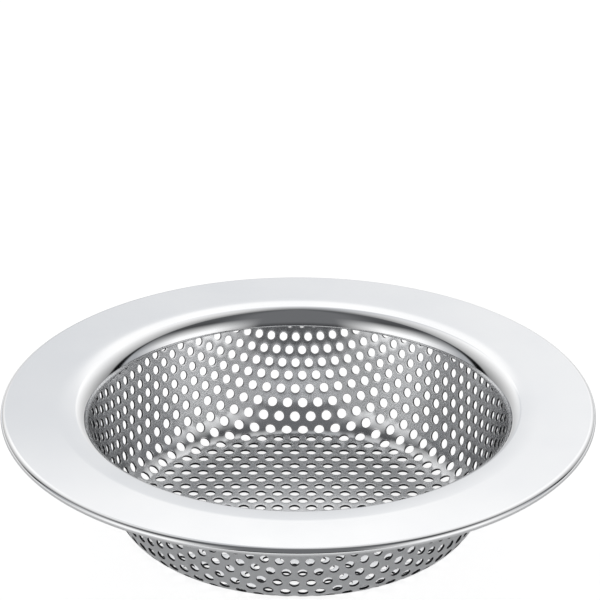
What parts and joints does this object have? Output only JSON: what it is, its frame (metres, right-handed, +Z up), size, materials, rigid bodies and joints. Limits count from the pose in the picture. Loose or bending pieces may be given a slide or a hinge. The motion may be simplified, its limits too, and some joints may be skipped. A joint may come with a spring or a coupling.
{
  "type": "sink strainer",
  "caption": "Round sink strainer: a wide polished flange with a folded hem, and a perforated steel cup lapped behind its collar that drains water and holds back scraps.",
  "frame": {"origin": "middle of the underside of the basket's floor, on the strainer's axis", "axes": "+Z up along the strainer's axis, from the basket's floor to the flange; the rows of holes run along X"},
  "size_m": [0.114, 0.114, 0.0243],
  "materials": {
    "polished_steel": "mirror-polished stainless steel",
    "perforated_steel": "satin perforated stainless sheet"
  },
  "bodies": {
    "root": {"rim": "polished_steel", "basket": "perforated_steel"}
  },
  "joints": []
}
